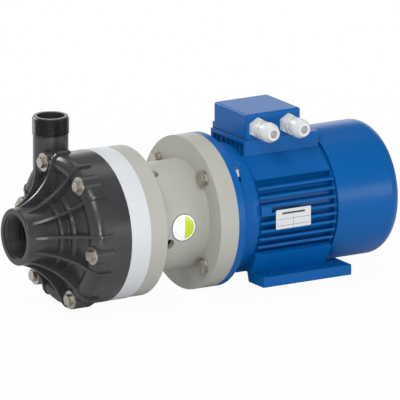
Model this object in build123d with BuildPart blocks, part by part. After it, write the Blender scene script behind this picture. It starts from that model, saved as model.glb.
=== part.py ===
from build123d import *

import os
from math import asin, cos, degrees, radians, sin, sqrt

# Magnet-driven plastic chemical pump on a foot and flange motor. Millimetres, Z up.
# The origin is the middle of the four foot holes on the foot plane, the shaft runs along X,
# and the suction nozzle faces -X. Angles about the shaft run from +Y (far side) towards +Z.

os.makedirs("parts", exist_ok=True)

# Motor frame size
shaft_height = 90.0
foot_pitch_along = 100.0
foot_pitch_across = 140.0
foot_hole = 10.0
foot_shoulder = 56.0
flange_diameter = 200.0
flange_thickness = 10.0
flange_pcd = 165.0
flange_hole = 12.0
flange_bolt_count = 4
spigot_diameter = 130.0
spigot_depth = 3.5
shaft_end_diameter = 24.0
shaft_end_length = 50.0
key_width = 8.0
key_height = 7.0
key_length = 34.0
key_sunk = 4.0

# Motor housing
shield_depth = 33.0
shield_radius = 83.0
frame_length = 127.0
frame_bore = 138.0
frame_wall = 7.0
end_band = 8.0
fin_pitch = 11.0
fin_thickness = 3.2
fin_tip_radius = 88.0
fins_per_side = 8
fin_gap_at_cowl = 3.0
foot_length = 132.0
foot_thickness = 13.5
foot_toe = 89.0
foot_front = 43.0
box_front = 46.3
box_length = 81.0
box_width = 84.0
box_height = 33.0
box_wall = 2.5
box_corner = 4.0
box_edge = 3.0
box_seat_height = 94.0
gasket_thickness = 1.0
seat_plate = 4.5
cowl_overlap = 3.5
cowl_diameter = 175.0
cowl_length = 98.0
cowl_corner = 19.0
cowl_sheet = 1.5
grille_rings = 5
grille_pitch = 11.0
grille_slot = 5.5
grille_spokes = 6
spoke_width = 7.0
ear_along = 28.0
ear_width = 14.0
ear_reach = 11.0
ear_thickness = 4.0
hood_screw_radius = 2.0
hood_screw_depth = 7.0

# Motor inside
core_length = 90.0
air_gap = 0.4
rotor_radius = 41.6
rotor_shaft_radius = 17.0
winding_height = 14.0
bearing_bore = 25.0
bearing_outside = 52.0
bearing_width = 15.0
ball_diameter = 7.9
ball_count = 9
fan_shaft_radius = 9.0
fan_radius = 74.0
fan_blades = 8
fan_hub_radius = 17.0

# Bracket between motor and pump
bracket_length = 129.5
bracket_flange = 24.7
bracket_step = 1.0
bracket_motor_flange = 26.7
neck_radius = 70.5
neck_wall = 8.5
neck_fillet = 1.0
window_diameter = 14.0
window_station = 44.5
label_diameter = 36.0
label_station = 64.5
label_thickness = 0.4

# Rear casing and the containment can that it clamps
ring_thickness = 29.0
ring_step = 0.3
ring_spigot = 3.0
can_inside_radius = 40.0
can_wall = 4.0
can_depth = 88.0
can_bottom = 8.0
can_corner = 3.0
can_flange = 8.0
can_lip = 1.5
socket_depth = 4.0

# Front casing
casing_length = 116.0
drum_radius = 98.5
nozzle_radius = 37.0
nozzle_rim_round = 2.0
suction_thread_radius = 29.8
suction_thread_depth = 26.0
suction_bore_radius = 25.0
throat_radius = 31.5
bulge_station = 77.0
bulge_round = 14.5
rib_count = 12
rib_width = 4.0
first_rib_angle = 23.0
casing_bolt_inset = 8.5
casing_bolt_count = 6
first_bolt_angle = 8.0
casing_bolt_hole = 9.0
boss_radius = 12.5
boss_seat = 63.5
boss_length = 24.0
boss_taper_length = 7.0
discharge_station = 88.7
discharge_offset = 60.0
discharge_height = 136.0
discharge_root_radius = 22.42
discharge_thread_length = 25.5
discharge_pipe_radius = 22.9
discharge_foot_height = 30.0
discharge_bore_radius = 18.0
chamber_front = 71.0
volute_start_radius = 64.0

# Impeller and its bearings
impeller_radius = 60.0
impeller_front = 80.0
impeller_passage = 14.0
shroud_thickness = 3.5
impeller_blades = 6
blade_thickness = 3.5
eye_radius = 25.0
neck_thickness = 4.5
hub_radius = 22.0
magnet_front = 36.0
magnet_length = 42.0
inner_rotor_radius = 38.0
inner_magnet_inside = 26.0
inner_magnet_outside = 35.0
outer_magnet_thickness = 5.5
outer_hub_wall = 4.8
pole_count = 8
pump_shaft_radius = 8.0
bush_wall = 5.0
seal_section = 1.5

# Fasteners: thread diameter, width across flats, head height
m8 = 8.0
m8_flats = 13.0
m8_head = 5.3
m10 = 10.0
m10_flats = 16.0
m10_head = 6.4
m10_nut = 8.0
casing_washer_diameter = 24.0
casing_washer_thickness = 2.0
flange_washer_diameter = 20.0
flange_washer_thickness = 2.0
casing_bolt_length = 100.0

# Clearances
running = 0.1
seating = 0.05
loose = 0.3

# Stations along the shaft, from the joint between bracket and motor
x_flange = -(foot_pitch_along / 2 + foot_shoulder)
x_bracket = x_flange - bracket_length
x_ring = x_bracket - ring_thickness
x_nozzle = x_ring - casing_length
x_frame = x_flange + shield_depth
x_frame_end = x_frame + frame_length
x_cowl = x_frame_end - cowl_overlap
x_cowl_end = x_cowl + cowl_length
frame_radius = frame_bore / 2 + frame_wall
ring_radius = drum_radius - ring_step
bracket_flange_radius = drum_radius - bracket_step
bracket_bore = neck_radius - neck_wall
shaft_line = Axis((0, 0, shaft_height), (1, 0, 0))


def radial_plane(angle):
    """Plane through the shaft line: local x along the shaft, local y outward at this angle."""
    turn = radians(angle)
    return Plane(origin=(0, 0, shaft_height), x_dir=(1, 0, 0), z_dir=(0, -sin(turn), cos(turn)))


def across(station):
    """Plane square to the shaft line: local x to the far side, local y up."""
    return Plane(origin=(station, 0, shaft_height), x_dir=(0, 1, 0), z_dir=(1, 0, 0))


section = radial_plane(90)


def turned(*outline, mode=Mode.ADD):
    """Turn a closed outline of (station, radius) points about the shaft line."""
    with BuildSketch(section) as profile:
        with BuildLine():
            Polyline(*outline, close=True)
        make_face()
    revolve(profile.sketch.faces(), axis=shaft_line, mode=mode)


def ring(start, end, outer, inner=0.0, mode=Mode.ADD):
    """Plain ring or disc about the shaft line between two stations."""
    with BuildSketch(across(start)) as face:
        Circle(outer)
        if inner > 0:
            Circle(inner, mode=Mode.SUBTRACT)
    extrude(face.sketch, amount=end - start, mode=mode)


def pegs(start, end, pitch_radius, angles, radius, mode=Mode.ADD):
    """Round pegs or holes parallel to the shaft, one at each angle."""
    for angle in angles:
        with BuildSketch(across(start)) as face:
            with PolarLocations(pitch_radius, 1, angle):
                Circle(radius)
        extrude(face.sketch, amount=end - start, mode=mode)


def hex_pegs(start, end, pitch_radius, angles, flats):
    """Hexagons parallel to the shaft, one at each angle."""
    for angle in angles:
        with BuildSketch(across(start)) as face:
            with PolarLocations(pitch_radius, 1, angle):
                RegularPolygon(flats / 2, 6, major_radius=False)
        extrude(face.sketch, amount=end - start)


def around(count, first):
    """Evenly spaced angles."""
    return [first + 360 / count * i for i in range(count)]


def save(builder, name):
    """Label a finished piece and write it."""
    builder.part.label = name
    export_step(builder.part, f"parts/{name}.step")


casing_bolt_angles = around(casing_bolt_count, first_bolt_angle)
flange_bolt_angles = around(flange_bolt_count, 45)
casing_pitch = drum_radius - casing_bolt_inset
flange_pitch = flange_pcd / 2
x_seat = x_nozzle + boss_seat
x_discharge = x_nozzle + discharge_station


# Front casing: ribbed volute casing with both nozzles
def casing_outline():
    """Outside of the casing between the ribs, from the nozzle rim to the joint face."""
    step = [
        (0, 0, 0),
        (0, nozzle_radius, nozzle_rim_round),
        (30, nozzle_radius + 1.5, 8),
        (40.5, 40.5, 1.5),
        (41.5, 47, 5),
        (54, 48, 1.5),
        (54.5, 53.5, 2.5),
        (59, 56, 2),
        (64.5, 72, 3),
    ]
    return step


bulge_radius = drum_radius - bulge_round
bulge_start = 218
bulge_end = 90
with BuildPart() as front_casing:
    with BuildSketch(section) as wall:
        with BuildLine():
            bulge = CenterArc(
                (x_nozzle + bulge_station, bulge_radius), bulge_round, bulge_start,
                bulge_end - bulge_start,
            )
            steps = casing_outline()
            corners = [(x_nozzle + s, r) for s, r, _ in steps]
            FilletPolyline(*corners, bulge @ 0, radius=[f for _, _, f in steps[1:]])
            Polyline(bulge @ 1, (x_ring, drum_radius), (x_ring, 0), (x_nozzle, 0))
        make_face()
    revolve(axis=shaft_line)
    # Ribs sweep from the nozzle to the drum
    rib_shoulder = drum_radius + 3.3
    for angle in around(rib_count, first_rib_angle):
        with BuildSketch(radial_plane(angle)):
            with BuildLine():
                sweep_edge = ThreePointArc(
                    (x_nozzle + 9.5, nozzle_radius + 1.0),
                    (x_nozzle + 42.5, 58.6),
                    (x_nozzle + 63.0, 92.0),
                )
                over = TangentArc(
                    sweep_edge @ 1, (x_nozzle + 74.0, rib_shoulder), tangent=sweep_edge % 1
                )
                Polyline(
                    over @ 1,
                    (x_nozzle + 87.0, rib_shoulder),
                    (x_nozzle + 91.0, drum_radius - 1),
                    (x_nozzle + 80.0, drum_radius - 9),
                    (x_nozzle + 66.0, 50.0),
                    (x_nozzle + 40.0, 33.0),
                    (x_nozzle + 9.5, nozzle_radius - 1),
                    sweep_edge @ 0,
                )
            make_face()
        extrude(amount=rib_width / 2, both=True)
    # Bolt bosses run back along the drum and taper off
    for angle in casing_bolt_angles:
        with BuildSketch(across(x_seat)):
            with PolarLocations(casing_pitch, 1, angle):
                Circle(boss_radius)
        extrude(amount=boss_length)
        with BuildSketch(across(x_seat + boss_length)):
            with PolarLocations(casing_pitch, 1, angle):
                Circle(boss_radius)
        extrude(amount=boss_taper_length, taper=22)
    # Discharge pipe stands tangent to the far side
    discharge_thread_start = discharge_height - discharge_thread_length
    for radius, start, end in (
        (discharge_pipe_radius, discharge_foot_height, discharge_thread_start),
        (discharge_root_radius, discharge_thread_start, discharge_height),
    ):
        with BuildSketch(Plane.XY.offset(shaft_height + start)):
            with Locations((x_discharge, discharge_offset)):
                Circle(radius)
        extrude(amount=end - start)
    # Spot faces for the washers
    pegs(
        x_seat - 12, x_seat, casing_pitch, casing_bolt_angles, boss_radius + seating,
        mode=Mode.SUBTRACT,
    )
    pegs(x_seat, x_ring, casing_pitch, casing_bolt_angles, casing_bolt_hole / 2, mode=Mode.SUBTRACT)
    # Suction passage, impeller chamber and the growing volute
    ring(x_nozzle, x_nozzle + suction_thread_depth, suction_thread_radius, mode=Mode.SUBTRACT)
    ring(x_nozzle, x_ring, suction_bore_radius, mode=Mode.SUBTRACT)
    ring(x_nozzle + chamber_front - 8, x_ring, throat_radius + 3, mode=Mode.SUBTRACT)
    ring(x_nozzle + chamber_front, x_ring, volute_start_radius, mode=Mode.SUBTRACT)
    volute_end_radius = discharge_offset + discharge_bore_radius
    tongue_across = discharge_offset - discharge_bore_radius
    tongue_angle = 90 - degrees(asin(tongue_across / volute_start_radius))
    volute_points = []
    for i in range(11):
        share = i / 10
        turn = radians(tongue_angle + (360 - tongue_angle) * share)
        reach = volute_start_radius + (volute_end_radius - volute_start_radius) * share
        volute_points.append((reach * cos(turn), reach * sin(turn)))
    throat_height = 62.0
    volute_half_width = 16.0
    with BuildSketch(across(x_discharge - volute_half_width)):
        with BuildLine():
            Spline(*volute_points)
            Polyline(
                volute_points[-1],
                (volute_end_radius, throat_height),
                (tongue_across, throat_height),
                volute_points[0],
            )
        make_face()
    extrude(amount=2 * volute_half_width, mode=Mode.SUBTRACT)
    with BuildSketch(Plane.XY.offset(shaft_height + throat_height - 1)):
        with Locations((x_discharge, discharge_offset)):
            Circle(discharge_bore_radius)
    extrude(amount=discharge_height, mode=Mode.SUBTRACT)
save(front_casing, "front_casing")

with BuildPart() as casing_bolts:
    x_head = x_seat - casing_washer_thickness
    hex_pegs(x_head - m8_head, x_head, casing_pitch, casing_bolt_angles, m8_flats)
    pegs(x_head, x_head + casing_bolt_length, casing_pitch, casing_bolt_angles, m8 / 2)
save(casing_bolts, "casing_bolts")

with BuildPart() as casing_washers:
    pegs(x_head, x_seat, casing_pitch, casing_bolt_angles, casing_washer_diameter / 2)
    pegs(x_head, x_seat, casing_pitch, casing_bolt_angles, m8 / 2 + loose, mode=Mode.SUBTRACT)
save(casing_washers, "casing_washers")

# Rear casing: thick ring that clamps the containment can against the front casing
x_can_inside = x_ring + can_depth
x_can_end = x_can_inside + can_bottom
can_radius = can_inside_radius + can_wall
seal_radius = volute_end_radius + 2.6
can_flange_radius = seal_radius + seal_section + running + can_lip
with BuildPart() as rear_casing:
    ring(x_ring, x_bracket, ring_radius)
    ring(x_bracket, x_bracket + ring_spigot, bracket_bore - 2 * running)
    ring(x_ring, x_ring + can_flange, can_flange_radius + seating, mode=Mode.SUBTRACT)
    ring(x_ring, x_bracket + ring_spigot, can_radius + seating, mode=Mode.SUBTRACT)
    pegs(
        x_ring, x_bracket, casing_pitch, casing_bolt_angles, casing_bolt_hole / 2,
        mode=Mode.SUBTRACT,
    )
save(rear_casing, "rear_casing")

# Containment can: closed cup between the two magnet rings, with the seal groove in its flange
with BuildPart() as containment_can:
    ring(x_ring, x_ring + can_flange, can_flange_radius)
    ring(x_ring, x_can_end, can_radius)
    fillet(
        containment_can.edges().filter_by(GeomType.CIRCLE).group_by(Axis.X)[-1], radius=can_corner
    )
    ring(x_ring, x_can_inside, can_inside_radius, mode=Mode.SUBTRACT)
    ring(x_can_inside, x_can_inside + socket_depth, pump_shaft_radius + seating, mode=Mode.SUBTRACT)
    ring(
        x_ring, x_ring + 2 * seal_section, seal_radius + seal_section + running,
        seal_radius - seal_section - running, mode=Mode.SUBTRACT,
    )
save(containment_can, "containment_can")

with BuildPart() as casing_seal:
    with BuildSketch(section):
        with Locations((x_ring + seal_section, seal_radius)):
            Circle(seal_section)
    revolve(axis=shaft_line)
save(casing_seal, "casing_seal")

# Fixed ceramic shaft, its front support and the thrust rings
x_support = x_nozzle + 44
support_length = 16.0
x_front_thrust = x_support + support_length
thrust_length = 4.0
x_rear_thrust = x_can_inside - thrust_length
support_hub = 13.0
with BuildPart() as shaft_support:
    ring(
        x_support, x_front_thrust, suction_bore_radius - seating, suction_bore_radius - 2.5
    )
    for angle in around(3, 90):
        with BuildSketch(radial_plane(angle)):
            with Locations((x_support + support_length / 2, suction_bore_radius / 2)):
                Rectangle(support_length, suction_bore_radius - 3)
        extrude(amount=2, both=True)
    ring(x_support - 6, x_front_thrust, support_hub)
    ring(x_support, x_front_thrust, pump_shaft_radius + seating, mode=Mode.SUBTRACT)
    fillet(shaft_support.edges().filter_by(GeomType.CIRCLE).group_by(Axis.X)[0], radius=5)
save(shaft_support, "shaft_support")

with BuildPart() as pump_shaft:
    ring(x_support, x_can_inside + socket_depth, pump_shaft_radius)
save(pump_shaft, "pump_shaft")

with BuildPart() as front_thrust_ring:
    ring(x_front_thrust, x_front_thrust + thrust_length, support_hub, pump_shaft_radius + seating)
save(front_thrust_ring, "front_thrust_ring")

with BuildPart() as rear_thrust_ring:
    ring(x_rear_thrust, x_can_inside, support_hub, pump_shaft_radius + seating)
save(rear_thrust_ring, "rear_thrust_ring")

with BuildPart() as wear_ring:
    ring(
        x_nozzle + chamber_front - 8, x_nozzle + chamber_front, throat_radius + 3 - seating,
        throat_radius,
    )
save(wear_ring, "wear_ring")

# Impeller with its long hub and the pocket for the inner magnets
x_front_shroud = x_nozzle + impeller_front
x_passage = x_front_shroud + shroud_thickness
x_back_shroud = x_passage + impeller_passage
x_magnets = x_ring + magnet_front
x_magnets_end = x_magnets + magnet_length
x_rotor_end = x_magnets_end + 5
bush_radius = pump_shaft_radius + running + bush_wall
neck_outer = eye_radius + neck_thickness
x_bush = x_front_thrust + thrust_length + loose
with BuildPart() as impeller:
    turned(
        (x_nozzle + chamber_front - 6, eye_radius),
        (x_nozzle + chamber_front - 6, neck_outer),
        (x_front_shroud - 4, neck_outer),
        (x_front_shroud, impeller_radius),
        (x_passage, impeller_radius),
        (x_passage - 3.5, eye_radius + 3),
        (x_passage - 6, eye_radius),
    )
    ring(x_back_shroud, x_back_shroud + shroud_thickness, impeller_radius)
    for angle in around(impeller_blades, 0):
        with BuildSketch(across(x_passage - 1)):
            with BuildLine():
                tip = Vector(impeller_radius - 0.5, 0).rotate(Axis.Z, angle)
                root = Vector(hub_radius - 2, 0).rotate(Axis.Z, angle + 75)
                middle = Vector(40, 0).rotate(Axis.Z, angle + 50)
                ThreePointArc(root, middle, tip)
                offset(amount=blade_thickness / 2)
            make_face()
        extrude(amount=impeller_passage + 1.5)
    turned(
        (x_bush + 1, 0), (x_bush + 1, bush_radius + 2.5), (x_passage + 4, hub_radius),
        (x_magnets, hub_radius), (x_magnets, 0),
    )
    ring(x_magnets - 4, x_rotor_end, inner_rotor_radius)
    ring(
        x_magnets, x_rotor_end, inner_magnet_outside + seating, inner_magnet_inside - seating,
        mode=Mode.SUBTRACT,
    )
    ring(x_bush - 5, x_rotor_end, bush_radius + seating, mode=Mode.SUBTRACT)
save(impeller, "impeller")

with BuildPart() as impeller_bush:
    ring(x_bush, x_rear_thrust - loose, bush_radius, pump_shaft_radius + running)
save(impeller_bush, "impeller_bush")


def magnet_ring(inside, outside):
    """One ring of arc magnets, with a small gap between the poles."""
    ring(x_magnets, x_magnets_end, outside, inside)
    for angle in around(pole_count, 0):
        with BuildSketch(radial_plane(angle)) as slit:
            with Locations(((x_magnets + x_magnets_end) / 2, (inside + outside) / 2)):
                Rectangle(magnet_length + 2, outside - inside + 2)
        extrude(slit.sketch, amount=0.5, both=True, mode=Mode.SUBTRACT)


with BuildPart() as inner_magnets:
    magnet_ring(inner_magnet_inside, inner_magnet_outside)
save(inner_magnets, "inner_magnets")

with BuildPart() as rotor_end_cap:
    ring(x_magnets_end, x_rotor_end, inner_magnet_outside, inner_magnet_inside)
save(rotor_end_cap, "rotor_end_cap")

# Outer magnet hub on the motor shaft
magnet_outer_radius = can_radius + 2.5 + outer_magnet_thickness
outer_hub_radius = magnet_outer_radius + outer_hub_wall
x_cup = x_magnets - 2
x_cup_bottom = x_can_end + 4
cup_bottom = 10.0
boss_hub_radius = 22.0
x_shaft_tip = x_flange - shaft_end_length
x_hub_end = x_flange - 12
shaft_radius = shaft_end_diameter / 2
key_top = shaft_radius - key_sunk + key_height
x_key = x_shaft_tip + 4
with BuildPart() as outer_magnet_hub:
    ring(x_cup, x_cup_bottom + cup_bottom, outer_hub_radius)
    ring(x_cup, x_cup_bottom, magnet_outer_radius - 2, mode=Mode.SUBTRACT)
    ring(x_cup, x_magnets_end, magnet_outer_radius + seating, mode=Mode.SUBTRACT)
    ring(x_cup_bottom + cup_bottom, x_hub_end, boss_hub_radius)
    ring(x_cup_bottom, x_hub_end, shaft_radius + seating, mode=Mode.SUBTRACT)
    with BuildSketch(across(x_cup_bottom)):
        with Locations((0, (key_top + loose) / 2)):
            Rectangle(key_width + 2 * seating, key_top + loose)
    extrude(amount=x_hub_end - x_cup_bottom, mode=Mode.SUBTRACT)
    with BuildSketch(Plane.XY.offset(shaft_height + key_top)):
        with Locations((x_hub_end - 8, 0), (x_hub_end - 24, 0)):
            Circle(3)
    extrude(amount=boss_hub_radius, mode=Mode.SUBTRACT)
save(outer_magnet_hub, "outer_magnet_hub")

with BuildPart() as outer_magnets:
    magnet_ring(magnet_outer_radius - outer_magnet_thickness, magnet_outer_radius)
save(outer_magnets, "outer_magnets")

with BuildPart() as hub_key:
    with BuildSketch(Plane.XY.offset(shaft_height + key_top - key_height)):
        with Locations((x_key + key_length / 2, 0)):
            SlotOverall(key_length, key_width)
    extrude(amount=key_height)
save(hub_key, "hub_key")

with BuildPart() as hub_screws:
    with BuildSketch(Plane.XY.offset(shaft_height + key_top)):
        with Locations((x_hub_end - 8, 0), (x_hub_end - 24, 0)):
            Circle(3 - seating)
    extrude(amount=boss_hub_radius - key_top - 1)
save(hub_screws, "hub_screws")

# Bracket: pump flange, hollow neck with air windows and motor flange
x_neck = x_bracket + bracket_flange
x_neck_end = x_flange - bracket_motor_flange
with BuildPart() as bracket_pump_flange:
    ring(x_bracket, x_neck, bracket_flange_radius, bracket_bore)
    pegs(
        x_bracket, x_neck, casing_pitch, casing_bolt_angles, m8 / 2 + seating,
        mode=Mode.SUBTRACT,
    )
save(bracket_pump_flange, "bracket_pump_flange")

with BuildPart() as bracket_neck:
    corner_radius = neck_radius + neck_fillet
    with BuildSketch(section):
        with BuildLine():
            Line((x_neck, bracket_bore), (x_neck, corner_radius))
            CenterArc((x_neck + neck_fillet, corner_radius), neck_fillet, 180, 90)
            Line((x_neck + neck_fillet, neck_radius), (x_neck_end - neck_fillet, neck_radius))
            CenterArc((x_neck_end - neck_fillet, corner_radius), neck_fillet, 270, 90)
            Polyline(
                (x_neck_end, corner_radius), (x_neck_end, bracket_bore), (x_neck, bracket_bore)
            )
        make_face()
    revolve(axis=shaft_line)
    for angle in (113, 196.5):
        turn = radians(angle)
        with BuildSketch(
            Plane(
                origin=(x_bracket + window_station, 0, shaft_height),
                x_dir=(1, 0, 0),
                z_dir=(0, cos(turn), sin(turn)),
            )
        ):
            Circle(window_diameter / 2)
        extrude(amount=neck_radius + 1, both=True, mode=Mode.SUBTRACT)
save(bracket_neck, "bracket_neck")

with BuildPart() as bracket_motor_end:
    ring(x_neck_end, x_flange, flange_diameter / 2, bracket_bore)
    ring(
        x_flange - spigot_depth - 1, x_flange, spigot_diameter / 2 + seating, mode=Mode.SUBTRACT
    )
    pegs(
        x_neck_end, x_flange, flange_pitch, flange_bolt_angles, flange_hole / 2,
        mode=Mode.SUBTRACT,
    )
save(bracket_motor_end, "bracket_motor_end")

with BuildPart() as round_label:
    with BuildSketch(Plane(origin=(x_bracket + label_station, 0, shaft_height), z_dir=(0, -1, 0))):
        Circle(label_diameter / 2)
    extrude(amount=neck_radius + 5)
    ring(
        x_bracket, x_flange, neck_radius + 30, neck_radius + label_thickness, mode=Mode.SUBTRACT
    )
    ring(x_bracket, x_flange, neck_radius, mode=Mode.SUBTRACT)
save(round_label, "round_label")

# Flange joint: bolts from the pump side, nuts behind the motor flange
x_nut = x_flange + flange_thickness
with BuildPart() as flange_washers:
    washer = flange_washer_diameter / 2
    pegs(
        x_neck_end - flange_washer_thickness, x_neck_end, flange_pitch, flange_bolt_angles,
        washer,
    )
    pegs(x_nut, x_nut + flange_washer_thickness, flange_pitch, flange_bolt_angles, washer)
    pegs(
        x_neck_end - 5, x_nut + 5, flange_pitch, flange_bolt_angles, m10 / 2 + loose,
        mode=Mode.SUBTRACT,
    )
save(flange_washers, "flange_washers")

with BuildPart() as flange_bolts:
    x_under_head = x_neck_end - flange_washer_thickness
    x_thread_end = x_nut + flange_washer_thickness + m10_nut + 1.5
    hex_pegs(x_under_head - m10_head, x_under_head, flange_pitch, flange_bolt_angles, m10_flats)
    pegs(x_under_head, x_thread_end, flange_pitch, flange_bolt_angles, m10 / 2)
save(flange_bolts, "flange_bolts")

with BuildPart() as flange_nuts:
    x_nut_seat = x_nut + flange_washer_thickness
    hex_pegs(x_nut_seat, x_nut_seat + m10_nut, flange_pitch, flange_bolt_angles, m10_flats)
    pegs(
        x_nut_seat, x_nut_seat + m10_nut, flange_pitch, flange_bolt_angles, m10 / 2 + seating,
        mode=Mode.SUBTRACT,
    )
save(flange_nuts, "flange_nuts")

# Drive end shield with the mounting flange and the front bearing seat
bearing_radius = bearing_outside / 2
x_front_bearing = x_flange + 14
x_seal = x_flange + 5
seal_outer = 20.0
shield_screw_radius = 3.0
shield_screw_head = 5.0
shield_screw_pitch = (frame_bore / 2 + shield_radius) / 2
shield_screw_angles = around(4, 0)
nut_pocket = 12.5
with BuildPart() as drive_end_shield:
    ring(x_flange, x_nut, flange_diameter / 2)
    ring(x_flange - spigot_depth, x_flange, spigot_diameter / 2, 50)
    turned((x_nut, 0), (x_nut, shield_radius - 2), (x_frame, shield_radius), (x_frame, 0))
    ring(x_frame, x_frame + 4, frame_bore / 2 - seating)
    ring(x_front_bearing + bearing_width, x_frame + 4, frame_bore / 2 - 7, mode=Mode.SUBTRACT)
    ring(
        x_front_bearing, x_front_bearing + bearing_width, bearing_radius + seating,
        mode=Mode.SUBTRACT,
    )
    ring(x_seal, x_front_bearing, seal_outer + seating, mode=Mode.SUBTRACT)
    ring(x_flange, x_seal, shaft_radius + 2, mode=Mode.SUBTRACT)
    pegs(x_nut, x_nut + 14, flange_pitch, flange_bolt_angles, nut_pocket, mode=Mode.SUBTRACT)
    pegs(x_flange, x_nut, flange_pitch, flange_bolt_angles, flange_hole / 2, mode=Mode.SUBTRACT)
    pegs(
        x_flange, x_flange + 8, shield_screw_pitch, shield_screw_angles,
        shield_screw_head + loose, mode=Mode.SUBTRACT,
    )
    pegs(
        x_flange, x_frame, shield_screw_pitch, shield_screw_angles,
        shield_screw_radius + loose, mode=Mode.SUBTRACT,
    )
save(drive_end_shield, "drive_end_shield")

with BuildPart() as drive_end_screws:
    pegs(
        x_flange + 2, x_flange + 8, shield_screw_pitch, shield_screw_angles, shield_screw_head
    )
    pegs(
        x_flange + 8, x_frame + end_band - 1, shield_screw_pitch, shield_screw_angles,
        shield_screw_radius,
    )
save(drive_end_screws, "drive_end_screws")

with BuildPart() as shaft_seal:
    ring(x_seal, x_front_bearing - 2, seal_outer, bearing_bore / 2 + running)
save(shaft_seal, "shaft_seal")

# Motor frame: ring, side fins, smooth pads, belly fins and the terminal box seat
x_fins = x_frame + end_band
x_fins_end = x_cowl - fin_gap_at_cowl
x_box = x_flange + box_front
seat_half = box_width / 2
foot_top = shaft_height - foot_thickness
pad_corner = (43.5, 73.0)
pad_edge = (72.0, 49.0)
lower_edge = (74.0, 51.0)
lower_corner = (62.0, foot_top)
fin_heights = [fin_pitch * (i - (fins_per_side - 1) / 2) for i in range(fins_per_side)]
seat_fins = [fin_pitch * i for i in range(-3, 4)]
lead_hole_radius = 11.0
lead_hole_x = x_box + box_length - 20
x_foot = x_flange + foot_front
foot_inside = 48.0
foot_screw_across = 56.0
foot_screw_along = [x_foot + 30, x_foot + 82]
foot_screw_radius = 4.0
box_bottom = shaft_height + box_seat_height
hood_bottom = box_bottom + gasket_thickness
box_middle = x_box + box_length / 2
ear_places = [
    (box_middle - ear_along, seat_half + ear_reach / 2),
    (box_middle + ear_along, seat_half + ear_reach / 2),
]
with BuildPart() as motor_frame:
    ring(x_frame, x_frame_end, frame_radius)
    ring(x_frame, x_fins, shield_radius)
    ring(x_fins_end, x_frame_end, shield_radius)
    with BuildSketch(across(x_fins)):
        # Side fins end on one tip circle
        for height in fin_heights:
            with Locations((0, height)):
                Rectangle(2 * sqrt(fin_tip_radius**2 - height**2), fin_thickness)
        for side in (-1, 1):
            # Upper smooth panel, from the box seat down to the first fin
            with BuildLine():
                Polyline(
                    (side * 30, 73),
                    (side * pad_corner[0], pad_corner[1]),
                    (side * pad_edge[0], pad_edge[1]),
                    (side * (pad_edge[0] - 4), pad_edge[1] - 4),
                    (side * 50, 42),
                    close=True,
                )
            make_face()
            # Lower smooth panel, down to the foot
            with BuildLine():
                Polyline(
                    (side * lower_edge[0], -lower_edge[1]),
                    (side * lower_corner[0], -lower_corner[1]),
                    (side * foot_inside, -foot_top),
                    (side * 40, -50),
                    (side * (lower_edge[0] - 5), -(lower_edge[1] - 4)),
                    close=True,
                )
            make_face()
        # Belly fins
        for offset_across in seat_fins[1:-1]:
            with Locations((offset_across, -(frame_radius + 8) / 2)):
                Rectangle(fin_thickness, frame_radius + 8)
    extrude(amount=x_fins_end - x_fins)
    # Terminal box seat: plate on side walls and short upright fins
    with BuildSketch(across(x_fins + 1.5)):
        with Locations((0, box_seat_height - seat_plate / 2)):
            Rectangle(box_width, seat_plate)
        for side in (-1, 1):
            with Locations((side * (seat_half - 2), (box_seat_height + 60) / 2)):
                Rectangle(4, box_seat_height - 60)
    extrude(amount=x_fins_end - x_fins - 1.5)
    with BuildSketch(across(x_fins + 5)):
        for offset_across in seat_fins:
            with Locations((offset_across, (box_seat_height + 60) / 2)):
                Rectangle(2.4, box_seat_height - 62)
    extrude(amount=x_fins_end - x_fins - 5)
    # Lugs for the hood screws on the far side
    with BuildSketch(Plane.XY.offset(box_bottom - 9)):
        for x, y in ear_places:
            with Locations((x, y - 1)):
                Rectangle(ear_width, ear_reach + 2)
    extrude(amount=9)
    with BuildSketch(Plane.XY.offset(box_bottom)):
        for x, y in ear_places:
            with Locations((x, y)):
                Rectangle(ear_width, ear_reach - 2 * loose)
    extrude(amount=gasket_thickness)
    with BuildSketch(Plane.XY.offset(hood_bottom)):
        with Locations(*ear_places):
            Circle(hood_screw_radius + seating)
    extrude(amount=-hood_screw_depth - 1, mode=Mode.SUBTRACT)
    # Small cast block between two fins near the front
    with BuildSketch(across(x_fins)):
        with Locations((-(frame_radius + 4), fin_pitch)):
            Rectangle(16, fin_pitch)
    extrude(amount=15)
    with BuildSketch(Plane.XY.offset(shaft_height + 60)):
        with Locations((lead_hole_x, 0)):
            Circle(lead_hole_radius)
    extrude(amount=box_seat_height, mode=Mode.SUBTRACT)
    ring(x_frame, x_frame_end, frame_bore / 2, mode=Mode.SUBTRACT)
    # Shield screws and foot screws are tapped into the frame
    pegs(
        x_frame, x_fins, shield_screw_pitch, shield_screw_angles,
        shield_screw_radius + seating, mode=Mode.SUBTRACT,
    )
    pegs(
        x_frame_end - end_band, x_frame_end, shield_screw_pitch, shield_screw_angles,
        shield_screw_radius + seating, mode=Mode.SUBTRACT,
    )
    with BuildSketch(Plane.XY.offset(foot_thickness)):
        for across_y in (-foot_screw_across, foot_screw_across):
            with Locations(*[(x, across_y) for x in foot_screw_along]):
                Circle(foot_screw_radius + seating)
    extrude(amount=16, mode=Mode.SUBTRACT)
save(motor_frame, "motor_frame")


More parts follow.
